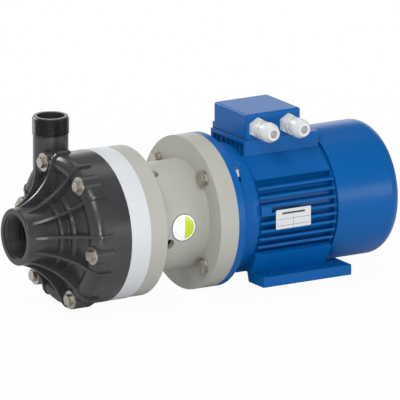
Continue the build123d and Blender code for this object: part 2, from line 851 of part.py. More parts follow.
def foot(side):
    """One foot rail: toe, holes for the fixing bolts and sunk screws up into the frame."""
    with BuildSketch(Plane(origin=(x_foot, 0, 0), x_dir=(0, 1, 0), z_dir=(1, 0, 0))) as rail:
        with BuildLine():
            Polyline(
                (side * foot_toe, 0),
                (side * foot_toe, foot_thickness),
                (side * foot_inside, foot_thickness),
                (side * (foot_inside + 4), 0),
                close=True,
            )
        make_face()
    extrude(rail.sketch, amount=foot_length)
    with BuildSketch(Plane.XY) as holes:
        for x in (-foot_pitch_along / 2, foot_pitch_along / 2):
            with Locations((x, side * foot_pitch_across / 2)):
                Circle(foot_hole / 2)
        for x in foot_screw_along:
            with Locations((x, side * foot_screw_across)):
                Circle(foot_screw_radius + loose)
    extrude(holes.sketch, amount=foot_thickness, mode=Mode.SUBTRACT)
    with BuildSketch(Plane.XY) as sinks:
        for x in foot_screw_along:
            with Locations((x, side * foot_screw_across)):
                Circle(7)
    extrude(sinks.sketch, amount=8, mode=Mode.SUBTRACT)


with BuildPart() as near_foot:
    foot(-1)
save(near_foot, "near_foot")

with BuildPart() as far_foot:
    foot(1)
save(far_foot, "far_foot")

with BuildPart() as foot_screws:
    screw_places = [
        (x, y) for x in foot_screw_along for y in (-foot_screw_across, foot_screw_across)
    ]
    with BuildSketch(Plane.XY.offset(2)):
        with Locations(*screw_places):
            Circle(6.5)
    extrude(amount=6)
    with BuildSketch(Plane.XY.offset(8)):
        with Locations(*screw_places):
            Circle(foot_screw_radius)
    extrude(amount=18)
save(foot_screws, "foot_screws")

# Stator, windings and rotor
x_core = (x_frame + x_frame_end - core_length) / 2
x_core_end = x_core + core_length
with BuildPart() as stator_core:
    ring(x_core, x_core_end, frame_bore / 2, rotor_radius + air_gap)
save(stator_core, "stator_core")

with BuildPart() as stator_windings:
    for start, end in ((x_core - winding_height, x_core), (x_core_end, x_core_end + winding_height)):
        turned(
            (start, rotor_radius + 6),
            (start, frame_bore / 2 - 10),
            (start + (end - start) * 0.5, frame_bore / 2 - 7),
            (end, frame_bore / 2 - 7),
            (end, rotor_radius + 4),
        )
save(stator_windings, "stator_windings")

with BuildPart() as rotor_core:
    ring(x_core, x_core_end, rotor_radius, rotor_shaft_radius)
    ring(x_core - 7, x_core, rotor_radius - 2, rotor_radius - 14)
    ring(x_core_end, x_core_end + 7, rotor_radius - 2, rotor_radius - 14)
save(rotor_core, "rotor_core")

# Shaft with its seats, from the key end to the fan seat
x_rear_bearing = x_frame_end + 4
x_rear_bearing_end = x_rear_bearing + bearing_width
x_fan = x_rear_bearing_end + 12
fan_hub_length = 30.0
x_shaft_end = x_fan + fan_hub_length + 6
seat_radius = bearing_bore / 2
shoulder_radius = 15.5
with BuildPart() as motor_shaft:
    turned(
        (x_shaft_tip, 0),
        (x_shaft_tip, shaft_radius - 1),
        (x_shaft_tip + 1, shaft_radius),
        (x_flange, shaft_radius),
        (x_flange, seat_radius),
        (x_front_bearing + bearing_width, seat_radius),
        (x_front_bearing + bearing_width, shoulder_radius),
        (x_core - 7, shoulder_radius),
        (x_core - 7, rotor_shaft_radius),
        (x_core_end + 7, rotor_shaft_radius),
        (x_core_end + 7, shoulder_radius),
        (x_rear_bearing, shoulder_radius),
        (x_rear_bearing, seat_radius),
        (x_rear_bearing_end + 6, seat_radius),
        (x_rear_bearing_end + 6, fan_shaft_radius),
        (x_shaft_end, fan_shaft_radius),
        (x_shaft_end, 0),
    )
    with BuildSketch(Plane.XY.offset(shaft_height + shaft_radius - key_sunk)):
        with Locations((x_key + key_length / 2, 0)):
            SlotOverall(key_length + 2 * seating, key_width + 2 * seating)
    extrude(amount=key_height, mode=Mode.SUBTRACT)
    # Groove for the fan clip
    ring(
        x_fan + fan_hub_length + 0.2, x_fan + fan_hub_length + 1.8, fan_shaft_radius + 1,
        fan_shaft_radius - 1, mode=Mode.SUBTRACT,
    )
save(motor_shaft, "motor_shaft")

# Ball bearings: grooved rings and balls
ball_pitch = (bearing_bore + bearing_outside) / 4
race_depth = 1.6


def bearing_ring(start, inner, outer):
    """One bearing ring with its ball groove."""
    ring(start, start + bearing_width, outer, inner)
    with BuildSketch(section) as groove:
        with Locations((start + bearing_width / 2, ball_pitch)):
            Circle(ball_diameter / 2 + running)
    revolve(groove.sketch.faces(), axis=shaft_line, mode=Mode.SUBTRACT)


def balls(start):
    """The balls of one bearing."""
    for angle in around(ball_count, 0):
        turn = radians(angle)
        across_y = ball_pitch * cos(turn)
        height = shaft_height + ball_pitch * sin(turn)
        with Locations((start + bearing_width / 2, across_y, height)):
            Sphere(ball_diameter / 2)


race_gap = ball_diameter / 2 - race_depth
with BuildPart() as front_bearing_outer:
    bearing_ring(x_front_bearing, ball_pitch + race_gap, bearing_radius)
save(front_bearing_outer, "front_bearing_outer")

with BuildPart() as front_bearing_inner:
    bearing_ring(x_front_bearing, seat_radius, ball_pitch - race_gap)
save(front_bearing_inner, "front_bearing_inner")

with BuildPart() as front_bearing_balls:
    balls(x_front_bearing)
save(front_bearing_balls, "front_bearing_balls")

with BuildPart() as rear_bearing_outer:
    bearing_ring(x_rear_bearing, ball_pitch + race_gap, bearing_radius)
save(rear_bearing_outer, "rear_bearing_outer")

with BuildPart() as rear_bearing_inner:
    bearing_ring(x_rear_bearing, seat_radius, ball_pitch - race_gap)
save(rear_bearing_inner, "rear_bearing_inner")

with BuildPart() as rear_bearing_balls:
    balls(x_rear_bearing)
save(rear_bearing_balls, "rear_bearing_balls")

# Fan end shield closes the back of the frame
spring_thickness = 1.5
cowl_radius = cowl_diameter / 2
cowl_screw_angles = (0, 50, 310)
x_cowl_screw = x_frame_end + 3
x_shield_end = x_rear_bearing_end + spring_thickness + 2.5
with BuildPart() as fan_end_shield:
    ring(x_frame_end, x_frame_end + 6, shield_radius)
    ring(x_frame_end - 4, x_frame_end, frame_bore / 2 - seating, frame_bore / 2 - 6)
    ring(x_frame_end, x_shield_end, bearing_radius + 6)
    ring(
        x_frame_end, x_rear_bearing_end + spring_thickness, bearing_radius + seating,
        mode=Mode.SUBTRACT,
    )
    ring(x_frame_end, x_shield_end, seat_radius + 2, mode=Mode.SUBTRACT)
    for angle in cowl_screw_angles:
        with BuildSketch(radial_plane(angle)):
            with Locations((x_frame_end + 3, (shield_radius + bearing_radius) / 2)):
                Rectangle(6, shield_radius - bearing_radius)
        extrude(amount=7, both=True)
    pegs(
        x_frame_end, x_frame_end + 6, shield_screw_pitch, shield_screw_angles,
        shield_screw_radius + loose, mode=Mode.SUBTRACT,
    )
save(fan_end_shield, "fan_end_shield")

with BuildPart() as fan_end_screws:
    pegs(
        x_frame_end + 6, x_frame_end + 12, shield_screw_pitch, shield_screw_angles,
        shield_screw_head,
    )
    pegs(
        x_frame_end - end_band + 1, x_frame_end + 6, shield_screw_pitch, shield_screw_angles,
        shield_screw_radius,
    )
save(fan_end_screws, "fan_end_screws")

with BuildPart() as bearing_spring:
    ring(
        x_rear_bearing_end, x_rear_bearing_end + spring_thickness, bearing_radius - 0.5,
        bearing_radius - 5,
    )
save(bearing_spring, "bearing_spring")

# Cooling fan and its clip
with BuildPart() as cooling_fan:
    ring(x_fan, x_fan + fan_hub_length, fan_hub_radius)
    ring(x_fan, x_fan + 3, fan_radius)
    for angle in around(fan_blades, 0):
        with BuildSketch(radial_plane(angle)):
            with BuildLine():
                Polyline(
                    (x_fan, fan_hub_radius - 1),
                    (x_fan + fan_hub_length - 2, fan_hub_radius - 1),
                    (x_fan + fan_hub_length - 2, fan_hub_radius + 12),
                    (x_fan + 22, fan_radius),
                    (x_fan, fan_radius),
                    close=True,
                )
            make_face()
        extrude(amount=1.2, both=True)
    ring(x_fan, x_fan + fan_hub_length, fan_shaft_radius + seating, mode=Mode.SUBTRACT)
save(cooling_fan, "cooling_fan")

with BuildPart() as fan_clip:
    ring(
        x_fan + fan_hub_length + 0.25, x_fan + fan_hub_length + 1.75, fan_shaft_radius + 4,
        fan_shaft_radius - 1 + seating,
    )
save(fan_clip, "fan_clip")

# Fan cowl: deep drawn cup with a ring grille in its back
with BuildPart() as fan_cowl:
    with BuildSketch(section):
        with BuildLine():
            FilletPolyline(
                (x_cowl, 0), (x_cowl, cowl_radius), (x_cowl_end, cowl_radius), (x_cowl_end, 0),
                radius=[0, cowl_corner],
            )
            Line((x_cowl_end, 0), (x_cowl, 0))
        make_face()
        with BuildLine():
            FilletPolyline(
                (x_cowl, 0), (x_cowl, cowl_radius - cowl_sheet),
                (x_cowl_end - cowl_sheet, cowl_radius - cowl_sheet), (x_cowl_end - cowl_sheet, 0),
                radius=[0, cowl_corner - cowl_sheet],
            )
            Line((x_cowl_end - cowl_sheet, 0), (x_cowl, 0))
        make_face(mode=Mode.SUBTRACT)
    revolve(axis=shaft_line)
    with BuildSketch(across(x_cowl_end - 2 * cowl_sheet)):
        for i in reversed(range(grille_rings)):
            middle = 12 + grille_pitch * i
            Circle(middle + grille_slot / 2)
            Circle(middle - grille_slot / 2, mode=Mode.SUBTRACT)
        for angle in around(grille_spokes // 2, 90):
            turn = angle - 90
            Rectangle(2 * cowl_radius, spoke_width, rotation=turn, mode=Mode.SUBTRACT)
    extrude(amount=3 * cowl_sheet, mode=Mode.SUBTRACT)
    for angle in cowl_screw_angles:
        turn = radians(angle)
        with BuildSketch(
            Plane(
                origin=(x_cowl_screw, 0, shaft_height), x_dir=(1, 0, 0),
                z_dir=(0, cos(turn), sin(turn)),
            )
        ):
            Circle(2.5)
        extrude(amount=cowl_radius + 1, mode=Mode.SUBTRACT)
save(fan_cowl, "fan_cowl")

with BuildPart() as cowl_screws:
    for angle in cowl_screw_angles:
        turn = radians(angle)
        outward = Plane(
            origin=(x_cowl_screw, 0, shaft_height), x_dir=(1, 0, 0), z_dir=(0, cos(turn), sin(turn))
        )
        with BuildSketch(outward.offset(shield_radius)):
            Circle(2.2)
        extrude(amount=cowl_radius - shield_radius)
        with BuildSketch(outward.offset(cowl_radius)):
            Circle(4)
        extrude(amount=2.4)
save(cowl_screws, "cowl_screws")

# Terminal box
gland_places = [x_flange + 62.0, x_flange + 107.8]
gland_height = shaft_height + 109.5
gland_bore = 10.0
shank_radius = 10.0
with BuildPart() as terminal_gasket:
    with BuildSketch(Plane.XY.offset(box_bottom)):
        with Locations((box_middle, 0)):
            Rectangle(box_length, box_width)
            Rectangle(box_length - 10, box_width - 10, mode=Mode.SUBTRACT)
    extrude(amount=gasket_thickness)
save(terminal_gasket, "terminal_gasket")

with BuildPart() as terminal_hood:
    with BuildSketch(Plane.XY.offset(hood_bottom)):
        with Locations((box_middle, 0)):
            RectangleRounded(box_length, box_width, box_corner)
    extrude(amount=box_height)
    fillet(terminal_hood.faces().sort_by(Axis.Z)[-1].edges(), radius=box_edge)
    with BuildSketch(Plane.XY.offset(hood_bottom)):
        with Locations((box_middle, 0)):
            Rectangle(box_length - 2 * box_wall, box_width - 2 * box_wall)
    extrude(amount=box_height - box_wall, mode=Mode.SUBTRACT)
    # Gland holes on the near side, screw ears on the far side
    with BuildSketch(Plane(origin=(0, 0, gland_height), x_dir=(1, 0, 0), z_dir=(0, -1, 0))):
        with Locations(*[(x, 0) for x in gland_places]):
            Circle(shank_radius + running)
    extrude(amount=box_width, mode=Mode.SUBTRACT)
    with BuildSketch(Plane.XY.offset(hood_bottom)):
        for x, y in ear_places:
            with Locations((x, y - 0.5)):
                Rectangle(ear_width, ear_reach + 1)
        with Locations(*ear_places):
            Circle(hood_screw_radius + loose, mode=Mode.SUBTRACT)
    extrude(amount=ear_thickness)
save(terminal_hood, "terminal_hood")

with BuildPart() as hood_screws:
    with BuildSketch(Plane.XY.offset(hood_bottom - hood_screw_depth)):
        with Locations(*ear_places):
            Circle(hood_screw_radius)
    extrude(amount=hood_screw_depth + ear_thickness)
    with BuildSketch(Plane.XY.offset(hood_bottom + ear_thickness)):
        with Locations(*ear_places):
            Circle(hood_screw_radius + 1.7)
    extrude(amount=2.6)
save(hood_screws, "hood_screws")

with BuildPart() as terminal_board:
    with BuildSketch(Plane.XY.offset(box_bottom)):
        with Locations((box_middle - 8, 0)):
            Rectangle(36, 52)
            with GridLocations(16, 16, 2, 3):
                Circle(2.1, mode=Mode.SUBTRACT)
    extrude(amount=8)
save(terminal_board, "terminal_board")

with BuildPart() as terminal_studs:
    with BuildSketch(Plane.XY.offset(box_bottom)):
        with Locations((box_middle - 8, 0)):
            with GridLocations(16, 16, 2, 3):
                Circle(2)
    extrude(amount=22)
    with BuildSketch(Plane.XY.offset(box_bottom + 8)):
        with Locations((box_middle - 8, 0)):
            with GridLocations(16, 16, 2, 3):
                RegularPolygon(3.5, 6, major_radius=False)
    extrude(amount=4)
save(terminal_studs, "terminal_studs")


# Cable glands: body through the hood wall, cap nut, seal and lock nut
def gland_ring(start, end, outer, inner, flats=0.0):
    """Round or hexagonal ring about both gland axes, from one reach to another."""
    for x in gland_places:
        seat = Plane(origin=(x, -start, gland_height), x_dir=(1, 0, 0), z_dir=(0, -1, 0))
        with BuildSketch(seat) as face:
            if flats > 0:
                RegularPolygon(flats / 2, 6, major_radius=False, rotation=30)
            else:
                Circle(outer)
            Circle(inner, mode=Mode.SUBTRACT)
        extrude(face.sketch, amount=end - start)


gland_flats = 24.0
gland_face = seat_half
gland_hex_end = gland_face + 8
gland_body_end = gland_face + 17.5
seal_start = gland_face + 21
seal_end = gland_face + 34
cap_start = gland_body_end + 1
cap_end = gland_face + 41
with BuildPart() as gland_bodies:
    gland_ring(gland_face - 13, gland_face, shank_radius, 6.5)
    gland_ring(gland_face, gland_hex_end, 0, 6.5, flats=gland_flats)
    gland_ring(gland_hex_end, gland_body_end, gland_flats / 2 - 0.2, 6.5)
    gland_ring(gland_body_end, seal_start, 9.4, 6.5)
save(gland_bodies, "gland_bodies")

with BuildPart() as gland_lock_nuts:
    gland_ring(
        gland_face - box_wall - 5, gland_face - box_wall, 0, shank_radius + seating, flats=24
    )
save(gland_lock_nuts, "gland_lock_nuts")

# Cap nut: narrow skirt, thick grip ring and a dome round the cable hole
with BuildPart() as gland_caps:
    for x in gland_places:
        side_view = Plane(origin=(x, 0, gland_height), x_dir=(0, -1, 0), z_dir=(-1, 0, 0))
        with BuildSketch(side_view) as dome:
            with BuildLine():
                FilletPolyline(
                    (cap_start, 9.5),
                    (cap_start, 11.0),
                    (cap_start + 6.5, 11.0),
                    (cap_start + 7.5, 13.0),
                    (cap_end - 8, 12.6),
                    (cap_end, 8.6),
                    (cap_end, gland_bore / 2),
                    radius=[0.3, 0.6, 0.6, 4, 1],
                )
                Polyline(
                    (cap_end, gland_bore / 2),
                    (cap_end - 3, gland_bore / 2),
                    (seal_end, 9.5),
                    (cap_start, 9.5),
                )
            make_face()
        revolve(dome.sketch.faces(), axis=Axis((x, 0, gland_height), (0, -1, 0)))
save(gland_caps, "gland_caps")

with BuildPart() as gland_seals:
    gland_ring(seal_start, seal_end, 9.0, gland_bore / 2)
save(gland_seals, "gland_seals")

# Rating plate on the near fin tips
plate_length = 52.0
plate_height = 25.5
plate_thickness = 0.8
x_plate = x_flange + 88.0
plate_drop = 2.7
with BuildPart() as rating_plate:
    with BuildSketch(
        Plane(
            origin=(x_plate, -fin_tip_radius, shaft_height - plate_drop), x_dir=(1, 0, 0),
            z_dir=(0, -1, 0),
        )
    ):
        RectangleRounded(plate_length, plate_height, 1.5)
    extrude(amount=plate_thickness)
save(rating_plate, "rating_plate")
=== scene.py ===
# %% [markdown]
# A magnet-driven plastic chemical pump. The shapes come from the CAD model, in metres, with the
# shaft along X and the feet on Z = 0. This lesson dresses that model: it gives every piece the
# finish of the real one, adds the pipe threads and the dust plugs of the cable glands, prints
# the sticker and the rating plate, and sets up a plain photo studio around it.

# %% Load the pump
from math import cos, pi, radians, sin

import bmesh
import bpy
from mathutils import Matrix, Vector


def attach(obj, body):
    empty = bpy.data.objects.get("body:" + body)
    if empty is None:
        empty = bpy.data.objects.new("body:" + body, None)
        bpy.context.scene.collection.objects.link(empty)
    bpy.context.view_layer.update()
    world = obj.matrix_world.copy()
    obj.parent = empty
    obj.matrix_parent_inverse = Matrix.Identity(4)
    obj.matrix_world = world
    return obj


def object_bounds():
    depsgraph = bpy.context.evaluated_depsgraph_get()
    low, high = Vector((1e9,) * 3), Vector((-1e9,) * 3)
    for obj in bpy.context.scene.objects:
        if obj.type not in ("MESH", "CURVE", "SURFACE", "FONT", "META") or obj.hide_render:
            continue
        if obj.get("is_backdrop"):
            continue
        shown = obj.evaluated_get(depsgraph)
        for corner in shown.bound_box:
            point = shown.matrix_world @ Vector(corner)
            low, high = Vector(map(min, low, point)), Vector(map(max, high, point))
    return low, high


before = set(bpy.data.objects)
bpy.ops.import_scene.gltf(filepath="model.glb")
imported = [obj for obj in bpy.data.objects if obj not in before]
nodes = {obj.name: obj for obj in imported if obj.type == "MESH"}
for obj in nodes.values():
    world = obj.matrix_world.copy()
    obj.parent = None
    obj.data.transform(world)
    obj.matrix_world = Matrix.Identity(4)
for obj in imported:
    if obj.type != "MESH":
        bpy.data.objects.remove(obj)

cad_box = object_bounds()
print("pieces from the CAD model:", len(nodes))

# %% [markdown]
# The pump's own sizes, in millimetres, are needed again for what is added here: where the shaft
# line runs, where the nozzles and the cable glands are, and which thread each nozzle has. One
# helper turns millimetres into Blender's metres.

# %% Sizes of the pump
MM = 0.001
SHAFT_HEIGHT = 90.0
NOZZLE_FACE = -380.5
FLANGE_JOINT = -106.0
DISCHARGE = (-291.8, 60.0)
DISCHARGE_TOP = 226.0
THREAD_PITCH = 2.309
THREAD_DEPTH = 1.479
SUCTION_ROOT = 29.8
SUCTION_THREAD = 25.0
SUCTION_START = 0.6
DISCHARGE_ROOT = 22.42
DISCHARGE_NECK = 25.5
DISCHARGE_THREAD = 25.3
GLANDS = [FLANGE_JOINT + 62.0, FLANGE_JOINT + 107.8]
GLAND_HEIGHT = SHAFT_HEIGHT + 109.5


def metres(x, y, z):
    """A point given in millimetres, as a vector in metres."""
    return Vector((x * MM, y * MM, z * MM))


print("nozzle face at", NOZZLE_FACE, "mm, discharge rim at", DISCHARGE_TOP, "mm")

# %% [markdown]
# Camera first. The photograph looks down on the pump by 14.5 degrees, from the suction end and
# from the cable gland side, and its lines hardly converge at all. A 1400 mm lens at 20 m
# shows 514 mm of the pump across the frame, as the photograph does.

# %% Camera
AZIMUTH = radians(-30.9)
ELEVATION = radians(14.5)
VIEW_CENTRE = metres(-104.8, 0.0, 102.5)
VIEW_DISTANCE = 19.99

back = Vector((sin(AZIMUTH) * cos(ELEVATION), -cos(AZIMUTH) * cos(ELEVATION), sin(ELEVATION)))
camera_data = bpy.data.cameras.new("studio_camera")
camera_data.lens = 1400
camera_data.sensor_width = 36
camera_data.clip_end = 80
camera = bpy.data.objects.new("studio_camera", camera_data)
bpy.context.scene.collection.objects.link(camera)
camera.location = VIEW_CENTRE + back * VIEW_DISTANCE
camera.rotation_euler = (-back).to_track_quat("-Z", "Y").to_euler()
bpy.context.scene.camera = camera
bpy.context.scene.view_settings.view_transform = "Standard"
print("camera at", [round(v, 2) for v in camera.location])

# %% [markdown]
# Materials are node trees, and a few small helpers keep them readable. One turns a colour as a
# designer writes it into the linear numbers that the renderer wants. One adds a node and sets
# or links its sockets in the same line. One rounds sharp edges off for the light alone: the
# mesh stays as it is, and the thin bright line that a real moulded or painted edge has appears.

# %% Colour and node helpers


def linear(code, alpha=1.0):
    """An sRGB hex colour as linear red, green, blue and alpha."""
    values = []
    for i in (1, 3, 5):
        c = int(code[i : i + 2], 16) / 255
        values.append(c / 12.92 if c <= 0.04045 else ((c + 0.055) / 1.055) ** 2.4)
    return (*values, alpha)


def add(tree, kind, sockets=None, **settings):
    """Add a node. Sockets take a value or the output of another node."""
    node = tree.nodes.new("ShaderNode" + kind)
    for name, value in settings.items():
        setattr(node, name, value)
    for name, value in (sockets or {}).items():
        if isinstance(value, bpy.types.NodeSocket):
            tree.links.new(value, node.inputs[name])
        else:
            node.inputs[name].default_value = value
    return node


def start_material(name, roughness, metallic=0.0, ior=1.5):
    """A material with one shader, and the piece's own coordinates in metres."""
    material = bpy.data.materials.new(name)
    material.use_nodes = True
    tree = material.node_tree
    shader = tree.nodes["Principled BSDF"]
    shader.inputs["Roughness"].default_value = roughness
    shader.inputs["Metallic"].default_value = metallic
    shader.inputs["IOR"].default_value = ior
    place = add(tree, "TexCoord").outputs["Object"]
    return material, tree, shader, place


def two_tones(tree, factor, dark, light):
    """A colour between two hex tones, by a factor from 0 to 1."""
    return add(
        tree, "Mix", {0: factor, 6: linear(dark), 7: linear(light)}, data_type="RGBA"
    ).outputs[2]


def soft_edge(tree, radius_mm):
    """A normal that rounds sharp edges off by this radius, so that light catches on them."""
    return add(tree, "Bevel", {"Radius": radius_mm * MM}, samples=6).outputs["Normal"]


def per_metre(size_mm):
    """The scale that makes one cell of a noise as large as this many millimetres."""
    return 1000.0 / size_mm


print("blue enamel is", [round(v, 3) for v in linear("#005498")[:3]])

# %% [markdown]
# The pump casing is polypropylene with black pigment, injection moulded. Its skin has a half
# gloss over a very fine grain, so it shows soft but clear highlights. The flow of the melt
# leaves slow changes in gloss over some centimetres. The threads are the same plastic with
# crisper edges; the outer one gets darker tones as painted shade for the shade in its grooves,
# which makes its ridges easier to read.

# %% Black polypropylene of the casing
FLOW_MM = 38
SKIN_MM = 0.9


def black_polypropylene(name, dark, light, edge_mm):
    """The casing's plastic, in two tones, with edges rounded by this radius."""
    material, tree, shader, place = start_material(name, 0.34, ior=1.49)
    flow = add(tree, "TexNoise", {"Vector": place, "Scale": per_metre(FLOW_MM), "Detail": 2.0})
    grain = add(tree, "TexNoise", {"Vector": place, "Scale": per_metre(SKIN_MM), "Detail": 3.0})
    colour = two_tones(tree, flow.outputs["Fac"], dark, light)
    tree.links.new(colour, shader.inputs["Base Color"])
    gloss = add(
        tree, "MapRange",
        {"Value": flow.outputs["Fac"], "From Min": 0.3, "From Max": 0.7,
         "To Min": 0.22, "To Max": 0.32},
    )
    tree.links.new(gloss.outputs["Result"], shader.inputs["Roughness"])
    bump = add(
        tree, "Bump",
        {"Height": grain.outputs["Fac"], "Strength": 0.2, "Distance": 0.05 * MM,
         "Normal": soft_edge(tree, edge_mm)},
    )
    tree.links.new(bump.outputs["Normal"], shader.inputs["Normal"])
    return material


black_pp = black_polypropylene("moulded_black_polypropylene", "#303032", "#3D3D3F", 0.7)
# The outer thread's darker tones are painted shade: they stand for the shade held in its
# grooves.
outer_thread_painted_shade_pp = black_polypropylene("moulded_black_thread_painted_shade", "#1B1B1D", "#252527", 0.1)
inner_thread_pp = black_polypropylene("moulded_black_inner_thread", "#303032", "#3D3D3F", 0.1)
print(black_pp.name, len(black_pp.node_tree.nodes), "nodes")

# %% [markdown]
# The thick ring behind the casing is polypropylene without black pigment, turned on a lathe
# from a thick blank: milky white, and a little light bleeds through its edges. The tool's own
# marks are too fine to show from here, so only very shallow waves run round it, 5.65 mm apart.

# %% White polypropylene of the ring
WAVE_MM = 0.9 * 2 * pi
WAVES_PER_UNIT = 20 / (2 * pi)

white_pp, tree, shader, place = start_material("turned_white_polypropylene", 0.45, ior=1.49)
shader.inputs["Subsurface Weight"].default_value = 0.12
shader.inputs["Subsurface Radius"].default_value = (0.004, 0.004, 0.005)
shader.inputs["Subsurface Scale"].default_value = 1.0
cloud = add(tree, "TexNoise", {"Vector": place, "Scale": per_metre(30), "Detail": 2.0})
shader_colour = two_tones(tree, cloud.outputs["Fac"], "#C8CBCF", "#D1D4D8")
tree.links.new(shader_colour, shader.inputs["Base Color"])
waves = add(
    tree, "TexWave",
    {"Vector": place, "Scale": per_metre(WAVE_MM) / WAVES_PER_UNIT, "Distortion": 0.4},
    wave_type="BANDS", bands_direction="X",
)
bump = add(
    tree, "Bump",
    {"Height": waves.outputs["Fac"], "Strength": 0.12, "Distance": 0.05 * MM,
     "Normal": soft_edge(tree, 0.6)},
)
tree.links.new(bump.outputs["Normal"], shader.inputs["Normal"])
print(white_pp.name, len(tree.nodes), "nodes")

# %% [markdown]
# The bracket is cast iron under a warm grey stoving enamel. The sand mould shows through the
# paint as shallow waves of 3 to 4 mm, and the paint itself has a fine orange peel.

# %% Grey enamel of the bracket
grey_enamel, tree, shader, place = start_material("grey_enamel_on_casting", 0.48)
shader.inputs["Coat Weight"].default_value = 0.1
shader.inputs["Coat Roughness"].default_value = 0.35
cloud = add(tree, "TexNoise", {"Vector": place, "Scale": per_metre(45), "Detail": 2.0})
shader_colour = two_tones(tree, cloud.outputs["Fac"], "#A6A59E", "#B1B0A9")
tree.links.new(shader_colour, shader.inputs["Base Color"])
sand = add(tree, "TexNoise", {"Vector": place, "Scale": per_metre(3.4), "Detail": 3.0})
peel = add(tree, "TexNoise", {"Vector": place, "Scale": per_metre(1.1), "Detail": 1.0})
bump = add(
    tree, "Bump",
    {"Height": sand.outputs["Fac"], "Strength": 0.3, "Distance": 0.12 * MM,
     "Normal": soft_edge(tree, 0.8)},
)
bump = add(
    tree, "Bump",
    {"Height": peel.outputs["Fac"], "Strength": 0.15, "Distance": 0.05 * MM,
     "Normal": bump.outputs["Normal"]},
)
tree.links.new(bump.outputs["Normal"], shader.inputs["Normal"])
print(grey_enamel.name, len(tree.nodes), "nodes")

# %% [markdown]
# The motor is die-cast aluminium and pressed sheet under one blue enamel. On the castings the
# paint lies over a slightly rough skin, on the drawn cowl it is smoother and shinier. The blue
# is deep and holds hardly any red, so its gloss is kept low: a strong white sheen would wash it
# out.

# %% Blue enamel of the motor


def blue_enamel(name, roughness, skin_mm, skin_depth):
    """The motor's blue paint over a skin of this grain."""
    material, tree, shader, place = start_material(name, roughness)
    shader.inputs["Specular IOR Level"].default_value = 0.18
    shader.inputs["Coat Weight"].default_value = 0.03
    shader.inputs["Coat Roughness"].default_value = 0.2
    cloud = add(tree, "TexNoise", {"Vector": place, "Scale": per_metre(60), "Detail": 2.0})
    colour = two_tones(tree, cloud.outputs["Fac"], "#005498", "#005CA4")
    tree.links.new(colour, shader.inputs["Base Color"])
    skin = add(tree, "TexNoise", {"Vector": place, "Scale": per_metre(skin_mm), "Detail": 2.0})
    bump = add(
        tree, "Bump",
        {"Height": skin.outputs["Fac"], "Strength": 0.25, "Distance": skin_depth * MM,
         "Normal": soft_edge(tree, 0.6)},
    )
    tree.links.new(bump.outputs["Normal"], shader.inputs["Normal"])
    return material


casting_enamel = blue_enamel("blue_enamel_on_die_casting", 0.34, 1.6, 0.08)
sheet_enamel = blue_enamel("blue_enamel_on_drawn_sheet", 0.28, 2.6, 0.04)
print(casting_enamel.name, "and", sheet_enamel.name)

# %% [markdown]
# Bolts and washers of the pump are stainless steel, cold headed and tumbled: a soft metal
# sheen over a fine grain that runs in no direction. The screws of the motor are zinc plated, a
# little bluer and duller. A metal keeps the default IOR; its colour is its reflection.

# %% Bolt metals


def tumbled_metal(name, dark, light, roughness):
    """Metal with a fine tumbled grain of about 0.5 mm."""
    material, tree, shader, place = start_material(name, roughness, metallic=1.0)
    grain = add(tree, "TexNoise", {"Vector": place, "Scale": per_metre(0.5), "Detail": 2.0})
    patch = add(tree, "TexNoise", {"Vector": place, "Scale": per_metre(4), "Detail": 2.0})
    tree.links.new(
        two_tones(tree, patch.outputs["Fac"], dark, light), shader.inputs["Base Color"]
    )
    spread = add(
        tree, "MapRange",
        {"Value": patch.outputs["Fac"], "To Min": roughness - 0.06, "To Max": roughness + 0.08},
    )
    tree.links.new(spread.outputs["Result"], shader.inputs["Roughness"])
    bump = add(
        tree, "Bump",
        {"Height": grain.outputs["Fac"], "Strength": 0.12, "Distance": 0.03 * MM,
         "Normal": soft_edge(tree, 0.4)},
    )
    tree.links.new(bump.outputs["Normal"], shader.inputs["Normal"])
    return material


stainless = tumbled_metal("tumbled_stainless_steel", "#B0ABA3", "#C9C4BC", 0.34)
zinc_plate = tumbled_metal("zinc_plated_steel", "#A9ACB0", "#C2C5C8", 0.36)
turned_steel = tumbled_metal("turned_shaft_steel", "#9C9EA0", "#B4B6B8", 0.28)
polished_steel = tumbled_metal("polished_bearing_steel", "#C4C6C8", "#D6D8DA", 0.12)
core_sheet = tumbled_metal("stacked_core_sheet", "#6A6C6E", "#808284", 0.5)
nickel_magnet = tumbled_metal("nickel_coated_magnet", "#8E9092", "#A6A8AA", 0.3)
wire_copper = tumbled_metal("varnished_copper_wire", "#8E4A28", "#B0643A", 0.35)
stud_brass = tumbled_metal("plain_brass", "#B9923F", "#D2AC58", 0.28)
print("metals ready")

# %% [markdown]
# The cable glands are white polyamide, moulded and slightly waxy; their grey seals and plugs,
# the black rubber, the black fan and the brown terminal board are moulded too. One recipe
# serves them, with the gloss and the grain that each of them has.

# %% Small mouldings


def moulding(name, dark, light, roughness, grain_mm=0.8, waxy=0.0):
    """A moulded plastic or rubber with a fine grain."""
    material, tree, shader, place = start_material(name, roughness, ior=1.52)
    shader.inputs["Subsurface Weight"].default_value = waxy
    shader.inputs["Subsurface Radius"].default_value = (0.002, 0.002, 0.002)
    patch = add(tree, "TexNoise", {"Vector": place, "Scale": per_metre(14), "Detail": 2.0})
    grain = add(tree, "TexNoise", {"Vector": place, "Scale": per_metre(grain_mm), "Detail": 2.0})
    tree.links.new(
        two_tones(tree, patch.outputs["Fac"], dark, light), shader.inputs["Base Color"]
    )
    bump = add(
        tree, "Bump",
        {"Height": grain.outputs["Fac"], "Strength": 0.2, "Distance": 0.04 * MM,
         "Normal": soft_edge(tree, 0.5)},
    )
    tree.links.new(bump.outputs["Normal"], shader.inputs["Normal"])
    return material


